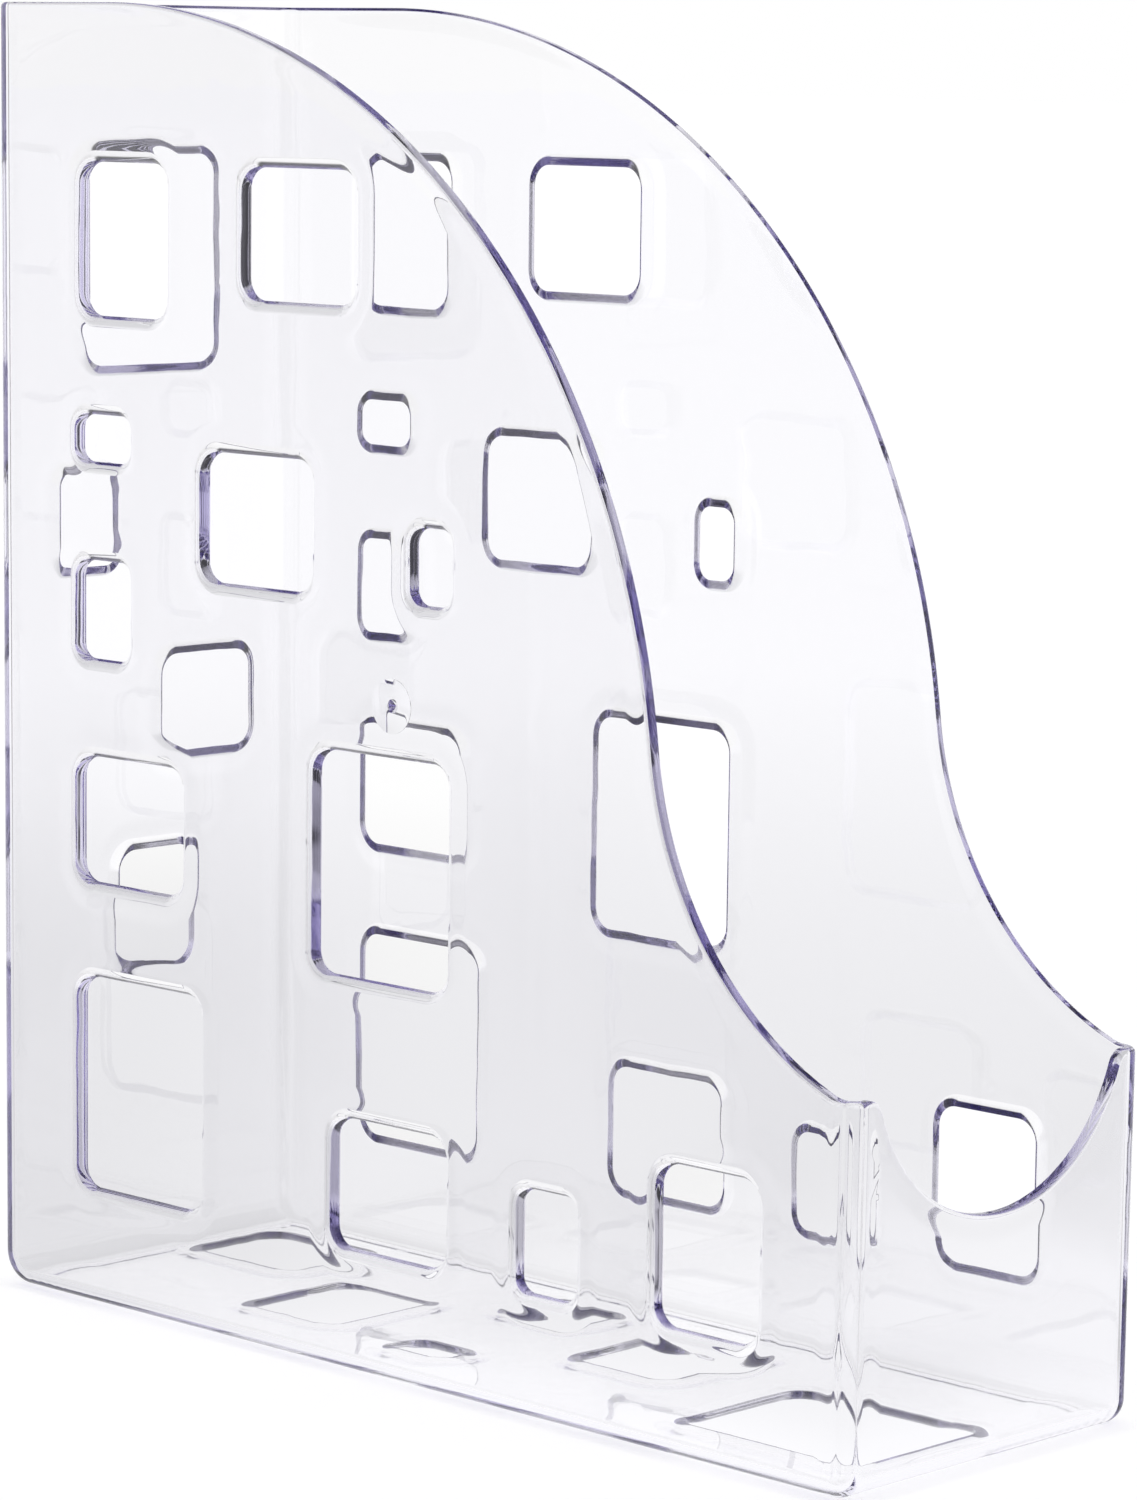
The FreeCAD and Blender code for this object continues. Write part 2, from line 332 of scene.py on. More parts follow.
def outline_gap(flat, outline):
    """Distance from points to the nearest segment of a closed ring."""
    start, run = outline, np.roll(outline, -1, axis=0) - outline
    away = flat[:, None, :] - start[None]
    share = np.clip((away * run).sum(-1) / (run ** 2).sum(-1), 0.0, 1.0)
    return np.linalg.norm(away - share[..., None] * run, axis=2).min(axis=1)


SINK_DEPTH, SINK_REACH = 0.13, 5.0      # of the outer faces, and how far from an edge it grows


def sink(flat, outline, holes, spread):
    """How far a flat face sinks as the moulding cools: none at its edges and windows.

    d(3s^2 - 2s^3) with s the distance to the nearest edge over the reach, up to 1.
    """
    gap = outline_gap(flat, outline)
    for hole in holes:
        gap = np.minimum(gap, round_rectangle_gap(flat, hole, spread))
    share = np.clip(gap / SINK_REACH, 0.0, 1.0)
    return SINK_DEPTH * share ** 2 * (3.0 - 2.0 * share)


LEAST_AREA = 1e-9                  # a flatter triangle is left out
JOIN_GRID, JOIN_SHIFT = 0.002, 0.000737     # points in one cell of this grid are one point


class Moulding:
    """Collects patches: points, faces and the true normal of every face corner."""

    def __init__(self):
        self.points, self.faces, self.normals, self.count = [], [], [], 0

    def add(self, points, normals, faces):
        self.points.append(points)
        self.normals.append(normals)
        self.faces.append(faces + self.count)
        self.count += len(points)

    def grid(self, points, normals, closed=False):
        """A patch of rows and columns; each face is wound the way its normals point."""
        rows, columns = points.shape[:2]
        index = np.arange(rows * columns).reshape(rows, columns)
        following = np.roll(index, -1, axis=1) if closed else index[:, 1:]
        here = index if closed else index[:, :-1]
        quads = np.stack([here[:-1], following[:-1], following[1:], here[1:]], axis=-1).reshape(-1, 4)
        triangles = np.concatenate([quads[:, [0, 1, 2]], quads[:, [0, 2, 3]]])
        self.add_wound(points.reshape(-1, 3), normals.reshape(-1, 3), triangles)

    def add_wound(self, points, normals, triangles):
        """A patch of loose triangles, each turned round where it faces against its normals."""
        a, b, c = (points[triangles[:, k]] for k in range(3))
        facing = np.cross(b - a, c - a)
        area = np.linalg.norm(facing, axis=1)
        triangles = triangles[area > LEAST_AREA]
        facing = facing[area > LEAST_AREA]
        wrong = np.einsum("ij,ij->i", facing, normals[triangles].mean(axis=1)) < 0
        triangles[wrong] = triangles[wrong][:, ::-1]
        self.add(points, normals, triangles)

    def mesh(self, name):
        """Joins points that coincide and writes one mesh with its own normals."""
        points = np.concatenate(self.points)
        normals = np.concatenate(self.normals)
        faces = np.concatenate(self.faces)
        keys = np.round((points + JOIN_SHIFT) / JOIN_GRID).astype(np.int64)
        _, first, joined = np.unique(keys, axis=0, return_index=True, return_inverse=True)
        joined = joined.reshape(-1)
        corners = joined[faces]
        whole = (corners[:, 0] != corners[:, 1]) & (corners[:, 1] != corners[:, 2]) \
            & (corners[:, 2] != corners[:, 0])
        corners, faces = corners[whole], faces[whole]
        made = bpy.data.meshes.new(name)
        made.from_pydata((points[first] * MM).tolist(), [], corners.tolist())
        made.polygons.foreach_set("use_smooth", np.ones(len(corners), dtype=bool))
        loop_normals = normals[faces].reshape(-1, 3)
        loop_normals /= np.linalg.norm(loop_normals, axis=1)[:, None]
        made.normals_split_custom_set(loop_normals.tolist())
        made.update()
        return made


rack = Moulding()


def ring_inside(outline, step):
    """Points a step inside a closed ring that runs either way round."""
    run = np.roll(outline, -1, axis=0) - np.roll(outline, 1, axis=0)
    aside = np.stack([-run[:, 1], run[:, 0]], axis=1) / np.linalg.norm(run, axis=1)[:, None]
    after = np.roll(outline, -1, axis=0)
    area = (outline[:, 0] * after[:, 1] - after[:, 0] * outline[:, 1]).sum()
    return outline + math.copysign(step, area) * aside


LEAST_GAP = 0.35                   # from an inner point to an edge or a window
SHEET_PITCH = 12.0                 # between the points of a plain face
RELIEF_STEPS = (0.6, 1.2, 1.8, 2.4, 3.0, 3.7, 4.4, 5.2)     # rings of points where a face sinks
SLOPE_NUDGE = 0.02                 # each way, to measure the slope of the sink
GATE_STEPS = 48                    # points round the gate mark
ONLY_INSIDE, SAME_POINT = 1, 1e-5  # kind of triangulation, and its tolerance


def keep_clear(points, outline, holes, spread):
    """Leaves out points that lie nearly on or past the outline or a window's ring."""
    clear = outline_gap(points, outline) > LEAST_GAP
    for hole in holes:
        clear &= round_rectangle_gap(points, hole, spread) > LEAST_GAP
    return points[clear]


def flat_sheet(outline, holes, spread, lift, normal, relief, round_hole=None):
    """A flat face with windows, cut into triangles between its outline and its rings.

    outline is a closed ring in the sheet's own plane, holes are (across, up, kind), spread
    grows the windows and lift places a point of the plane in space. With relief the face
    sinks by sink(); round_hole is a round opening (across, up, radius).
    """
    normal = np.array(normal, dtype=float)
    rings = [outline]
    for u, v, kind in holes:
        rings.append(window_ring(kind, spread)[0] + np.array([u, v]))
    if round_hole is not None:
        u, v, radius = round_hole
        rings.append(turn((u, v), radius, 0.0, 2.0 * math.pi, GATE_STEPS + 1)[0][:-1])
    low_corner, high_corner = outline.min(axis=0), outline.max(axis=0)
    stations = [np.arange(low_corner[k] + SHEET_PITCH / 2.0, high_corner[k], SHEET_PITCH)
                for k in (0, 1)]
    grid = np.stack(np.meshgrid(*stations, indexing="ij"), axis=-1).reshape(-1, 2)
    steps = RELIEF_STEPS if relief else ()
    inner = [ring_inside(outline, step) for step in steps]
    for step in steps:
        inner += [window_ring(kind, spread + step)[0] + np.array([u, v]) for u, v, kind in holes]
    flat = np.concatenate(rings + [keep_clear(points, outline, holes, spread)
                                   for points in inner] + [grid])
    edges, faces, start = [], [], 0
    for ring in rings:
        index = list(range(start, start + len(ring)))
        edges += list(zip(index, index[1:] + index[:1]))
        faces.append(index)
        start += len(ring)
    result = delaunay_2d_cdt([Vector(p) for p in flat.tolist()], edges, faces, ONLY_INSIDE,
                             SAME_POINT, True)
    kept = [face for face, inside in zip(result[2], result[5]) if list(inside) == [0]]
    source = np.array([ids[0] if ids else -1 for ids in result[3]])
    spot = np.array([list(v) for v in result[0]])
    known = source >= 0
    spot[known] = flat[source[known]]
    points, normals = lift(spot), np.repeat([normal], len(spot), axis=0)
    if relief:
        level = sink(spot, outline, holes, spread)
        for axis in (0, 1):
            shift = np.zeros(2)
            shift[axis] = SLOPE_NUDGE
            slope = (sink(spot + shift, outline, holes, spread)
                     - sink(spot - shift, outline, holes, spread)) / (2.0 * SLOPE_NUDGE)
            along = lift(shift[None] / SLOPE_NUDGE)[0] - lift(np.zeros((1, 2)))[0]
            normals = normals + slope[:, None] * along
        points = points - level[:, None] * normal
    rack.add_wound(points, normals, np.array(kept))


RIM_STEPS, BRINK_STEPS = 15, 8


def rims(holes, place, outward):
    """Window edges: a soft bevel from the outer face, then a straight land inwards.

    The bevel is a superellipse: (s/A)^p + (h/D)^p = 1, with s along the face, h into the wall.
    place(flat, sunk) gives the point sunk below the outer face; outward is its normal.
    """
    outward = np.array(outward)
    angle = np.linspace(0.0, math.pi / 2.0, RIM_STEPS)
    along, into = np.sin(angle) ** (2.0 / RIM_POWER), np.cos(angle) ** (2.0 / RIM_POWER)
    lean = 2.0 - 2.0 / RIM_POWER
    for u, v, kind in holes:
        rows, normals = [], []
        for s, h, a in zip(along, into, angle):
            ring, way = window_ring(kind, rim_spread * (1.0 - s))
            rows.append(place(ring + np.array([u, v]), rim_fall * (1.0 - h)))
            inwards = place(way, 0.0) - place(np.zeros_like(way), 0.0)
            normals.append(max(math.cos(a), 0.0) ** lean / rim_fall * outward
                           - math.sin(a) ** lean / rim_spread * inwards)
        rack.grid(np.array(rows), np.array(normals), closed=True)
        ring, way = window_ring(kind, 0.0)
        land = [place(ring + np.array([u, v]), s) for s in (rim_fall, wall)]
        rack.grid(np.array(land), np.array([normals[-1]] * 2), closed=True)


def skin(sunk, facing):
    """One skin of the whole moulding: the outer at sunk 0, the inner a wall below it.

    facing is 1 where the skin's faces point out of the rack, -1 where they point into it.
    """
    radius = corner_radius - sunk
    outer = sunk == 0.0
    trim, spread = (brink_round, rim_spread) if outer else (0.0, 0.0)
    # Corner bands: quarter rounds of this radius carried along the side line.
    insets = corner_radius - radius * np.sin(corner_angles)
    lines = [side_line(inset, trim) for inset in insets]
    points = np.array([line[0] for line in lines])
    way = lines[0][1]
    c, s = np.cos(corner_angles)[:, None], np.sin(corner_angles)[:, None]
    for side in (-1.0, 1.0):
        x = side * (side_split + radius * c) * np.ones(len(way))
        band = np.stack([x, points[:, :, 0], points[:, :, 1]], axis=-1)
        outward = np.stack([side * c * np.ones(len(way)), s * way[:, 0], s * way[:, 1]], axis=-1)
        rack.grid(band, facing * outward)
    # Side walls: between the side line at the corner's start and the top edge.
    edge, edge_way = side_brink()
    foot = side_line(corner_radius, trim)[0]
    outline = np.concatenate([foot, (edge - trim * edge_way)[::-1][1:-1]])
    for side in (-1.0, 1.0):
        x = side * (half_width - sunk)
        lift = lambda flat, x=x: np.stack([np.full(len(flat), x), flat[:, 0], flat[:, 1]], axis=1)
        gate = (gate_y, gate_z, gate_dish_radius) if side < 0 and outer else None
        flat_sheet(outline, side_holes, spread, lift, (facing * side, 0.0, 0.0), outer, gate)
    # Toe and heel rounds, then front wall, back wall and base between the side splits.
    line, line_way = side_line(sunk, trim)
    for part in (TOE, HEEL):
        y, z, ny, nz = (np.repeat(v[part, None], len(across), axis=1)
                        for v in (line[:, 0], line[:, 1], line_way[:, 0], line_way[:, 1]))
        x = np.repeat(across[None, :], y.shape[0], axis=0)
        rack.grid(np.stack([x, y, z], axis=-1), facing * np.stack([0 * x, ny, nz], axis=-1))
    notch, notch_way = front_brink()
    top = (notch - trim * notch_way)[::-1]
    up_left, up_right = line[:TOE.start + 1, 1], line[:TOE.start + 1, 1][::-1]
    side = lambda x, z: np.stack([np.full(len(z), x), z], axis=1)
    level = lambda z: np.stack([across, np.full(len(across), z)], axis=1)
    outline = np.concatenate([level(line[TOE.start, 1])[:-1], side(side_split, up_right[:-1]),
                              top[:-1], side(-side_split, up_left[:-1])])
    lift = lambda flat: np.stack([flat[:, 0], front_line(flat[:, 1], sunk), flat[:, 1]], axis=1)
    flat_sheet(outline, [], 0.0, lift, facing * np.array([0.0, *line_way[0]]), outer)
    up = line[HEEL.stop - 1:, 1]
    outline = np.concatenate([level(up[0])[:-1], side(side_split, up)[:-1],
                              level(up[-1])[::-1][:-1], side(-side_split, up[::-1])[:-1]])
    lift = lambda flat: np.stack([flat[:, 0], back_line(flat[:, 1], sunk), flat[:, 1]], axis=1)
    flat_sheet(outline, back_holes, spread, lift, facing * np.array([0.0, *line_way[-1]]), outer)
    along = line[TOE.stop - 1:HEEL.start + 1, 0]
    outline = np.concatenate([level(along[0])[:-1], side(side_split, along)[:-1],
                              level(along[-1])[::-1][:-1], side(-side_split, along[::-1])[:-1]])
    lift = lambda flat: np.stack([flat[:, 0], flat[:, 1], np.full(len(flat), sunk)], axis=1)
    flat_sheet(outline, base_holes, spread, lift, (0.0, 0.0, -facing), outer)


PIT_POWER, GATE_ROWS = 1.3, 12


def gate_mark():
    """Gate's mark: a shallow round dish with a small cone-shaped pit, turned about its axis.

    The dish is a shallow bowl of depth d(1 - (r/R)^2); the pit adds p(1 - (r/r0)^PIT_POWER).
    """
    dish = np.linspace(gate_dish_radius, gate_pit_radius, GATE_ROWS)
    pit = np.linspace(gate_pit_radius, 0.0, GATE_ROWS)
    cap = lambda r: gate_dish_depth * (1.0 - (r / gate_dish_radius) ** 2)
    cap_slope = lambda r: 2.0 * gate_dish_depth * r / gate_dish_radius ** 2
    share = pit / gate_pit_radius
    steepest = PIT_POWER * gate_pit_depth / gate_pit_radius
    depths = (cap(dish), cap(pit) + gate_pit_depth * (1.0 - share ** PIT_POWER))
    slopes = (cap_slope(dish), cap_slope(pit) + steepest * share ** (PIT_POWER - 1.0))
    ring = turn((0.0, 0.0), 1.0, 0.0, 2.0 * math.pi, GATE_STEPS + 1)[1][:-1]
    one = np.ones(GATE_STEPS)
    for radii, depth_there, slope in zip((dish, pit), depths, slopes):
        points = np.stack([np.stack([(d - half_width) * one, gate_y + r * ring[:, 0],
                                     gate_z + r * ring[:, 1]], axis=1)
                           for r, d in zip(radii, depth_there)])
        normals = np.stack([np.stack([-one, -k * ring[:, 0], -k * ring[:, 1]], axis=1)
                            for k in slope])
        rack.grid(points, normals, closed=True)


def open_top():
    """Closes the wall's open top: an outer quarter round, then a flat land to the inside."""
    walls, edges = brink_normals()
    angle = np.linspace(0.0, math.pi / 2.0, BRINK_STEPS)
    rows = [brink(brink_round * (1.0 - math.cos(a)), brink_round * (1.0 - math.sin(a)))
            for a in angle]
    normals = [math.cos(a) * walls + math.sin(a) * edges for a in angle]
    rack.grid(np.array(rows), np.array(normals), closed=True)
    rack.grid(np.array([rows[-1], brink(wall, 0.0)]), np.array([edges, edges]), closed=True)


skin(0.0, 1.0)
skin(wall, -1.0)
for side in (-1.0, 1.0):
    rims(side_holes, lambda flat, sunk, side=side: np.stack(
        [np.full(len(flat), side * (half_width - sunk)), flat[:, 0], flat[:, 1]], axis=1),
        (side, 0.0, 0.0))
rims(back_holes, lambda flat, sunk: np.stack(
    [flat[:, 0], back_line(flat[:, 1], sunk), flat[:, 1]], axis=1), (0.0, 1.0, 0.0))
rims(base_holes, lambda flat, sunk: np.stack(
    [flat[:, 0], flat[:, 1], np.full(len(flat), sunk)], axis=1), (0.0, 0.0, -1.0))
gate_mark()
open_top()


# ====================================== materials =======================================

def colour(code):
    """Linear colour of an sRGB hex value such as 'f0f0f0'."""
    value = np.array([int(code[k:k + 2], 16) for k in (0, 2, 4)]) / 255.0
    linear = np.where(value <= 0.04045, value / 12.92, ((value + 0.055) / 1.055) ** 2.4)
    return (*linear.tolist(), 1.0)


def node(tree, kind, inputs=None, **settings):
    """Adds a node, with its settings, and fills its inputs with values or with outputs."""
    made = tree.nodes.new(kind)
    for name, value in settings.items():
        setattr(made, name, value)
    for key, value in (inputs or {}).items():
        if isinstance(value, bpy.types.NodeSocket):
            tree.links.new(value, made.inputs[key])
        else:
            made.inputs[key].default_value = value
    return made


def blank_material(name):
    made = bpy.data.materials.new(name)
    made.use_nodes = True
    made.node_tree.nodes.clear()
    return made


RIPPLE_PITCH, RIPPLE_DEPTH = 40.0 / 3.0, 0.05      # of the faces, as the plastic flowed
POLYSTYRENE_IOR = 1.59
TONER_DENSITY = 12.0       # for each metre of plastic


def clear_polystyrene():
    """Clear general-purpose polystyrene, injection moulded in a polished mould.

    It is glass-clear through a wall, and the toner in it turns edges violet, where the light
    has run a long way inside. Polished faces leave it almost free of roughness.
    """
    made = blank_material("clear_polystyrene")
    tree = made.node_tree
    where = node(tree, "ShaderNodeTexCoord")
    ripple = node(tree, "ShaderNodeTexNoise", {
        "Vector": where.outputs["Object"], "Scale": 1.0 / (RIPPLE_PITCH * MM),
        "Detail": 1.0, "Roughness": 0.4})
    faces = node(tree, "ShaderNodeBump", {
        "Strength": 1.0, "Distance": RIPPLE_DEPTH * MM, "Height": ripple.outputs["Fac"]})
    shader = node(tree, "ShaderNodeBsdfPrincipled", {
        "Base Color": colour("ffffff"), "Roughness": 0.0, "IOR": POLYSTYRENE_IOR,
        "Transmission Weight": 1.0, "Normal": faces.outputs[0]})
    toner = node(tree, "ShaderNodeVolumeAbsorption", {
        "Color": colour("b6aadf"), "Density": TONER_DENSITY})
    node(tree, "ShaderNodeOutputMaterial", {
        "Surface": shader.outputs[0], "Volume": toner.outputs[0]})
    return made


moulding = bpy.data.objects.new("rack_moulding", rack.mesh("rack_moulding"))
bpy.context.scene.collection.objects.link(moulding)
moulding.data.materials.append(clear_polystyrene())
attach(moulding, "root")
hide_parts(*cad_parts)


# ================================ studio, light, camera =================================
# Levels are shares of plain white. Places on the paper are in metres from the rack's middle.

SIDE_LEVEL = 0.62          # of the room beside the rack, against 1 behind it
FRONT_LEVEL = 0.2          # of the room in front of the rack
FLAG_LEVEL = 0.06          # of the flag at the left, which is no object: a dark sector of the room's light, and painted shade on the paper
FLAG_FOOT = 0.72           # painted shade of the paper near the rack, on the way to the flag
ROOM_LEVEL, ROOF_LEVEL = 1.07, 0.14        # of the room and of its ceiling, in the plastic
NEAR_LEVEL, SHADE_LEVEL = 1.03, 0.908      # painted levels of the paper before and behind the rack, for its painted shade
FAR_GAIN, LEFT_LOSS = 0.17, -0.09          # painted lift of the paper far away, and painted shade at the left
LEE_LEVEL, PAPER_LIFT = 0.965, 0.03        # of the painted shadow seen openly, and the paper's own glow
LEE_SPREAD = -0.109        # sideways drift of the painted shadow's edges for each metre from the rack
LIT_TURN = math.radians(44.074)     # towards the lit side of the room, from +X
SHADE_TURN = math.radians(82.7)     # the way the paper's painted soft shade falls
SMOOTH = {"interpolation_type": "SMOOTHSTEP"}


def through_plastic(tree, path):
    """1 for the eye's ray once the plastic has bent or mirrored it, before it lights paper."""
    bent = node(tree, "ShaderNodeMath", {
        0: path.outputs["Is Glossy Ray"], 1: path.outputs["Is Transmission Ray"]},
        operation="MAXIMUM")
    early = node(tree, "ShaderNodeMath", {0: path.outputs["Diffuse Depth"], 1: 0.5},
                 operation="LESS_THAN")
    return node(tree, "ShaderNodeMath", {0: bent.outputs[0], 1: early.outputs[0]},
                operation="MULTIPLY").outputs[0]


def flag_seen(tree, path, flat):
    """How much of the flag a ray meets: the left of the room, for light led inside the plastic.

    Such light was mirrored inside at least once for each wall that it passed.
    """
    left = node(tree, "ShaderNodeVectorMath", {
        0: flat, 1: (-math.sin(LIT_TURN), math.cos(LIT_TURN), 0.0)}, operation="DOT_PRODUCT")
    flag = node(tree, "ShaderNodeMapRange", {
        "Value": left.outputs["Value"], "From Min": 0.86, "From Max": 0.95}, **SMOOTH)
    twice = node(tree, "ShaderNodeMath", {
        0: path.outputs["Glossy Depth"], 1: 2.0, 2: 0.5}, operation="MULTIPLY_ADD")
    guided = node(tree, "ShaderNodeMath", {
        0: twice.outputs[0], 1: path.outputs["Transmission Depth"]}, operation="GREATER_THAN")
    entered = node(tree, "ShaderNodeMath", {
        0: path.outputs["Transmission Depth"], 1: 1.0}, operation="MINIMUM")
    for part in (guided, entered):
        flag = node(tree, "ShaderNodeMath", {0: flag.outputs[0], 1: part.outputs[0]},
                    operation="MULTIPLY")
    return flag.outputs[0]


def lit_side(tree, path, place, flag_level):
    """How bright the room is, and the paper's painted shade, for mirrored rays: full behind the
    rack, dim towards the front.

    place is a point or a direction, and flag_level is how bright the flag is there. Rays that
    only pass through the walls keep the full level.
    """
    flat = node(tree, "ShaderNodeVectorMath", {0: place, 1: (1.0, 1.0, 0.0)}, operation="MULTIPLY")
    flat = node(tree, "ShaderNodeVectorMath", {0: flat.outputs[0]}, operation="NORMALIZE")
    behind = node(tree, "ShaderNodeVectorMath", {
        0: flat.outputs[0], 1: (math.cos(LIT_TURN), math.sin(LIT_TURN), 0.0)},
        operation="DOT_PRODUCT")
    beside = node(tree, "ShaderNodeMapRange", {
        "Value": behind.outputs["Value"], "From Min": -0.55, "From Max": -0.25,
        "To Min": FRONT_LEVEL, "To Max": SIDE_LEVEL}, **SMOOTH)
    rest = node(tree, "ShaderNodeMapRange", {
        "Value": behind.outputs["Value"], "From Min": 0.0, "From Max": 0.22,
        "To Min": 0.0, "To Max": 1.0 - SIDE_LEVEL}, **SMOOTH)
    level = node(tree, "ShaderNodeMath", {0: beside.outputs[0], 1: rest.outputs[0]},
                 operation="ADD")
    level = node(tree, "ShaderNodeMix", {
        0: flag_seen(tree, path, flat.outputs[0]), 2: level.outputs[0], 3: flag_level})
    mirrored = node(tree, "ShaderNodeMath", {0: path.outputs["Glossy Depth"], 1: 1.0},
                    operation="MINIMUM")
    return node(tree, "ShaderNodeMix", {
        0: mirrored.outputs[0], 2: 1.0, 3: level.outputs[0]}).outputs[0]


def paper_shade(tree, where, away):
    """The paper's painted shade by its place: three smooth steps, added up.

    A painted soft shadow: it falls along SHADE_TURN and towards the left near the rack, and rises
    with the distance.
    """
    back = node(tree, "ShaderNodeVectorMath", {
        0: where, 1: (math.cos(SHADE_TURN), math.sin(SHADE_TURN), 0.0)}, operation="DOT_PRODUCT")
    left = node(tree, "ShaderNodeVectorMath", {
        0: where, 1: (-math.sin(LIT_TURN), math.cos(LIT_TURN), 0.0)}, operation="DOT_PRODUCT")
    near = node(tree, "ShaderNodeMapRange", {
        "Value": back.outputs["Value"], "From Min": -0.05, "From Max": 0.13,
        "To Min": NEAR_LEVEL, "To Max": SHADE_LEVEL}, **SMOOTH)
    far = node(tree, "ShaderNodeMapRange", {
        "Value": away, "From Min": 0.32, "From Max": 1.4, "To Min": 0.0, "To Max": FAR_GAIN},
        **SMOOTH)
    deep = node(tree, "ShaderNodeMapRange", {
        "Value": left.outputs["Value"], "From Min": 0.03, "From Max": 0.13,
        "To Min": 0.0, "To Max": LEFT_LOSS}, **SMOOTH)
    ends = node(tree, "ShaderNodeMapRange", {
        "Value": away, "From Min": 0.4, "From Max": 0.95, "To Min": 1.0, "To Max": 0.0}, **SMOOTH)
    deep = node(tree, "ShaderNodeMath", {0: deep.outputs[0], 1: ends.outputs[0]},
                operation="MULTIPLY")
    shade = near
    for more in (far, deep):
        shade = node(tree, "ShaderNodeMath", {0: shade.outputs[0], 1: more.outputs[0]},
                     operation="ADD")
    return shade.outputs[0]


def clear_of_rack(tree, where):
    """0 close to the rack's sides, 1 a hand's breadth away: |max(|p| - half the rack, 0)|."""
    size = node(tree, "ShaderNodeVectorMath", {0: where}, operation="ABSOLUTE")
    past = node(tree, "ShaderNodeVectorMath", {
        0: size.outputs[0], 1: (half_width * MM, -front_face * MM, 0.0)}, operation="SUBTRACT")
    past = node(tree, "ShaderNodeVectorMath", {0: past.outputs[0], 1: (0.0, 0.0, 0.0)},
                operation="MAXIMUM")
    gap = node(tree, "ShaderNodeVectorMath", {0: past.outputs[0]}, operation="LENGTH")
    return node(tree, "ShaderNodeMapRange", {
        "Value": gap.outputs["Value"], "From Min": 0.006, "From Max": 0.07}, **SMOOTH).outputs[0]


def lee(tree, where):
    """1 in the lee, where the painted shadow lies openly: a band that leaves the rack near LIT_TURN,
    soft at its sides and ends.
    """
    turned = node(tree, "ShaderNodeVectorRotate", {"Vector": where, "Angle": -LIT_TURN},
                  rotation_type="Z_AXIS")
    spot = node(tree, "ShaderNodeSeparateXYZ", {0: turned.outputs[0]})
    beside = node(tree, "ShaderNodeMath", {
        0: spot.outputs["X"], 1: LEE_SPREAD, 2: spot.outputs["Y"]}, operation="MULTIPLY_ADD")
    outer = node(tree, "ShaderNodeMapRange", {
        "Value": beside.outputs[0], "From Min": 0.116, "From Max": 0.086}, **SMOOTH)
    inner = node(tree, "ShaderNodeMapRange", {
        "Value": beside.outputs[0], "From Min": -0.12, "From Max": -0.07}, **SMOOTH)
    start = node(tree, "ShaderNodeMapRange", {
        "Value": spot.outputs["X"], "From Min": 0.02, "From Max": 0.12}, **SMOOTH)
    end = node(tree, "ShaderNodeMapRange", {
        "Value": spot.outputs["X"], "From Min": 1.7, "From Max": 0.8}, **SMOOTH)
    share = outer.outputs[0]
    for edge in (inner, start, end):
        share = node(tree, "ShaderNodeMath", {0: share, 1: edge.outputs[0]},
                     operation="MULTIPLY").outputs[0]
    return share


def white_paper():
    """White paper: plain to the eye, with painted soft shade near the rack through the plastic.

    The same painted shade lies openly only in the lee of the rack, as a painted soft shadow
    in a band that leaves the rack near LIT_TURN; no lamp casts it.
    """
    made = blank_material("white_paper")
    made.cycles.emission_sampling = "NONE"
    tree = made.node_tree
    path = node(tree, "ShaderNodeLightPath")
    where = node(tree, "ShaderNodeTexCoord").outputs["Object"]
    away = node(tree, "ShaderNodeVectorMath", {0: where}, operation="LENGTH").outputs["Value"]
    shade = paper_shade(tree, where, away)
    # Seen through the plastic, the paper is a painted glow, slightly cool, with its painted shade;
    # beside the rack mirrored rays find it dimmer, by more painted shade.
    flag = node(tree, "ShaderNodeMapRange", {
        "Value": away, "From Min": 0.4, "From Max": 1.15,
        "To Min": FLAG_FOOT, "To Max": FLAG_LEVEL}, **SMOOTH)
    side = node(tree, "ShaderNodeMix", {
        0: clear_of_rack(tree, where), 2: 1.0, 3: lit_side(tree, path, where, flag.outputs[0])})
    level = node(tree, "ShaderNodeMath", {0: shade, 1: side.outputs[0]}, operation="MULTIPLY")
    glow = node(tree, "ShaderNodeEmission", {
        "Color": colour("fdfdff"), "Strength": level.outputs[0]})
    # Seen openly, it is plain paper, with the painted shadow in the lee.
    clipped = node(tree, "ShaderNodeMath", {0: shade, 1: 1.0}, operation="MINIMUM")
    deeper = node(tree, "ShaderNodeMath", {0: clipped.outputs[0], 1: LEE_LEVEL},
                  operation="MULTIPLY")
    seen = node(tree, "ShaderNodeMix", {0: lee(tree, where), 2: 1.0, 3: deeper.outputs[0]})
    tone = node(tree, "ShaderNodeCombineColor", {
        "Red": seen.outputs[0], "Green": seen.outputs[0], "Blue": seen.outputs[0]})
    paper = node(tree, "ShaderNodeBsdfDiffuse", {"Color": tone.outputs[0]})
    lift = node(tree, "ShaderNodeEmission", {"Strength": PAPER_LIFT})
    plain = node(tree, "ShaderNodeAddShader", {0: paper.outputs[0], 1: lift.outputs[0]})
    finish = node(tree, "ShaderNodeMixShader", {
        0: through_plastic(tree, path), 1: plain.outputs[0], 2: glow.outputs[0]})
    node(tree, "ShaderNodeOutputMaterial", {"Surface": finish.outputs[0]})
    return made


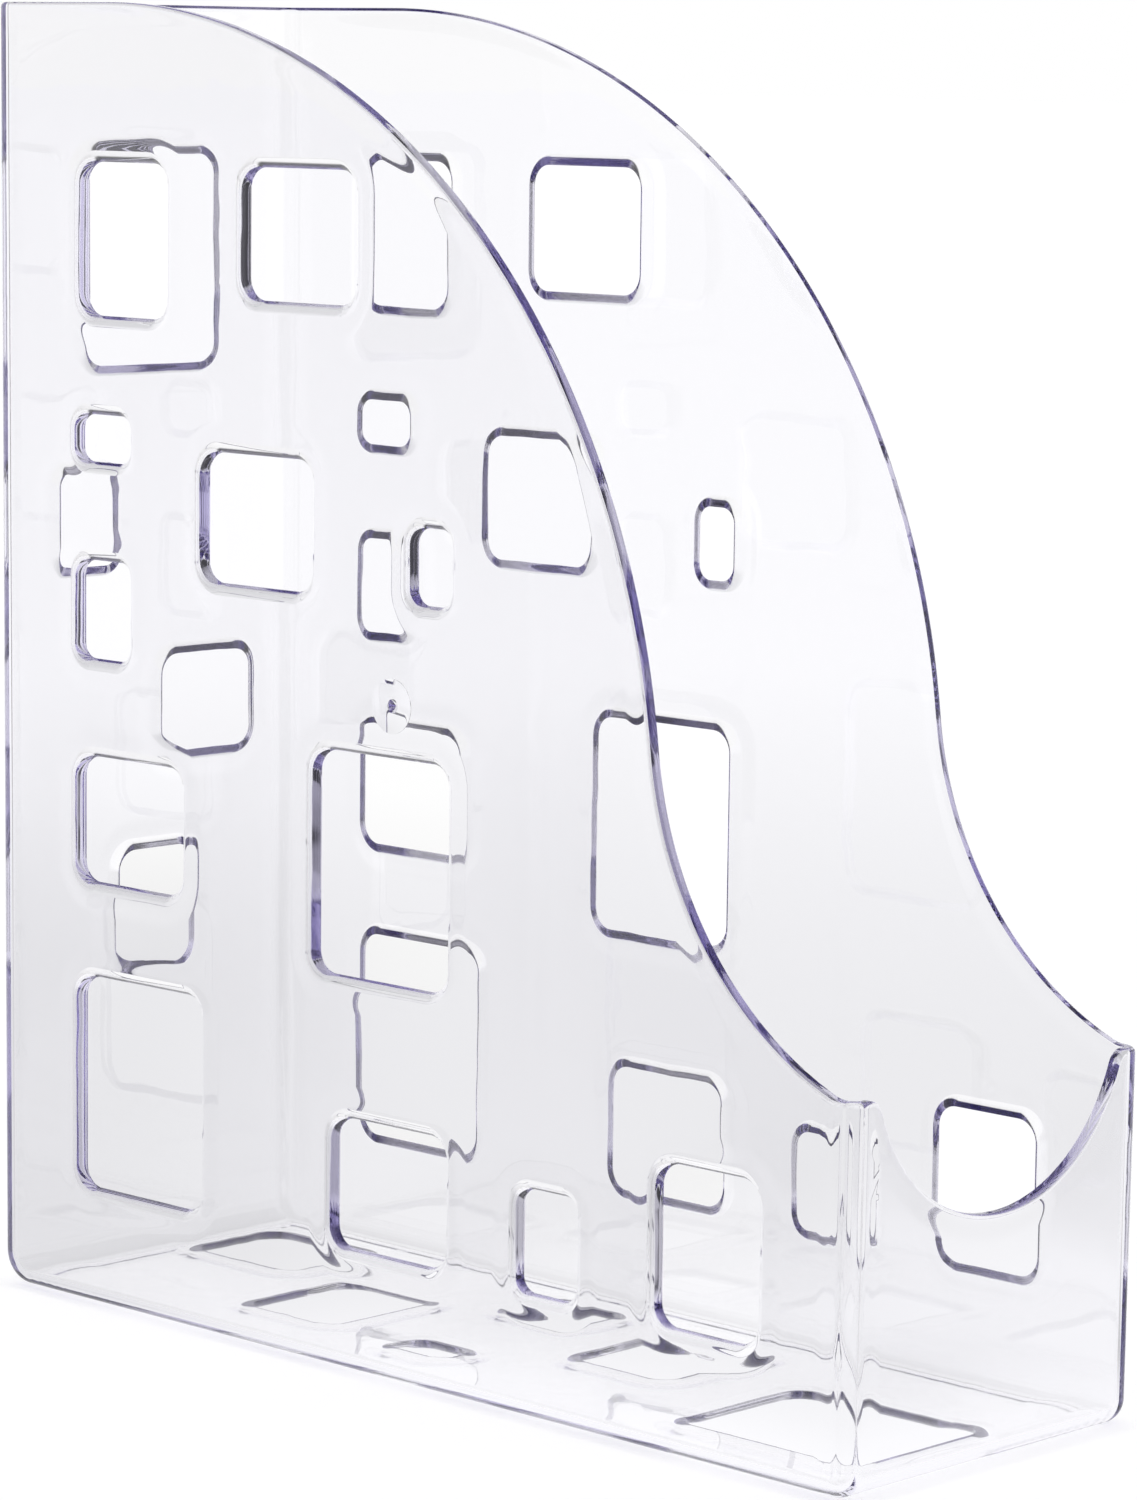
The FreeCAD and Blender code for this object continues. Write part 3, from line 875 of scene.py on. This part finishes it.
def studio_world():
    """A white room: plain to the eye and as light, and dim overhead through the plastic."""
    world = bpy.data.worlds.new("studio")
    world.use_nodes = True
    tree = world.node_tree
    tree.nodes.clear()
    path = node(tree, "ShaderNodeLightPath")
    way = node(tree, "ShaderNodeTexCoord").outputs["Generated"]
    up = node(tree, "ShaderNodeSeparateXYZ", {0: way})
    through = node(tree, "ShaderNodeMapRange", {
        "Value": up.outputs["Z"], "From Min": 0.42, "From Max": 0.52,
        "To Min": ROOM_LEVEL, "To Max": ROOF_LEVEL}, **SMOOTH)
    sided = node(tree, "ShaderNodeMath", {
        0: through.outputs[0], 1: lit_side(tree, path, way, FLAG_LEVEL)}, operation="MULTIPLY")
    level = node(tree, "ShaderNodeMix", {
        0: through_plastic(tree, path), 2: 1.0, 3: sided.outputs[0]})
    light = node(tree, "ShaderNodeBackground", {
        "Color": (1, 1, 1, 1), "Strength": level.outputs[0]})
    node(tree, "ShaderNodeOutputWorld", {"Surface": light.outputs[0]})
    return world


scene = bpy.context.scene
scene.world = studio_world()
scene.view_settings.view_transform = "Standard"

FLOOR_HALF, FLOOR_DROP = 30.0, 0.0003      # half its side, and how far it lies below the rack
floor_mesh = bpy.data.meshes.new("floor")
floor_mesh.from_pydata([(x * FLOOR_HALF, y * FLOOR_HALF, -FLOOR_DROP)
                        for x, y in ((-1, -1), (1, -1), (1, 1), (-1, 1))], [], [(0, 1, 2, 3)])
floor_mesh.materials.append(white_paper())
floor = bpy.data.objects.new("floor", floor_mesh)
scene.collection.objects.link(floor)


def aim(yaw, pitch, roll):
    """Camera axes: it looks along yaw from +X and down by pitch, rolled about its view."""
    forward = Vector((math.cos(yaw) * math.cos(pitch), math.sin(yaw) * math.cos(pitch),
                      -math.sin(pitch)))
    right = Vector((math.sin(yaw), -math.cos(yaw), 0.0))
    up = right.cross(forward)
    across_view = right * math.cos(roll) + up * math.sin(roll)
    up_view = up * math.cos(roll) - right * math.sin(roll)
    return across_view, up_view, -forward


EYE = (-0.815734, -0.797692, 0.289071)
EYE_YAW, EYE_PITCH, EYE_ROLL = LIT_TURN, math.radians(7.624), math.radians(0.716)
FOCAL_LENGTH, SENSOR = 124.285, 36.0
LIGHT_BOUNCES, PAPER_BOUNCES = 128, 8      # in the plastic, and between paper and paper

lens = bpy.data.cameras.new("camera")
lens.sensor_fit = "AUTO"
lens.sensor_width = SENSOR
lens.lens = FOCAL_LENGTH
camera = bpy.data.objects.new("camera", lens)
scene.collection.objects.link(camera)
place = camera.matrix_world.copy()
for column, axis in enumerate((*aim(EYE_YAW, EYE_PITCH, EYE_ROLL), EYE)):
    for row in range(3):
        place[row][column] = axis[row]
camera.matrix_world = place
scene.camera = camera

scene.cycles.max_bounces = LIGHT_BOUNCES
scene.cycles.transmission_bounces = LIGHT_BOUNCES
scene.cycles.glossy_bounces = LIGHT_BOUNCES
scene.cycles.diffuse_bounces = PAPER_BOUNCES
scene.cycles.blur_glossy = 0.0
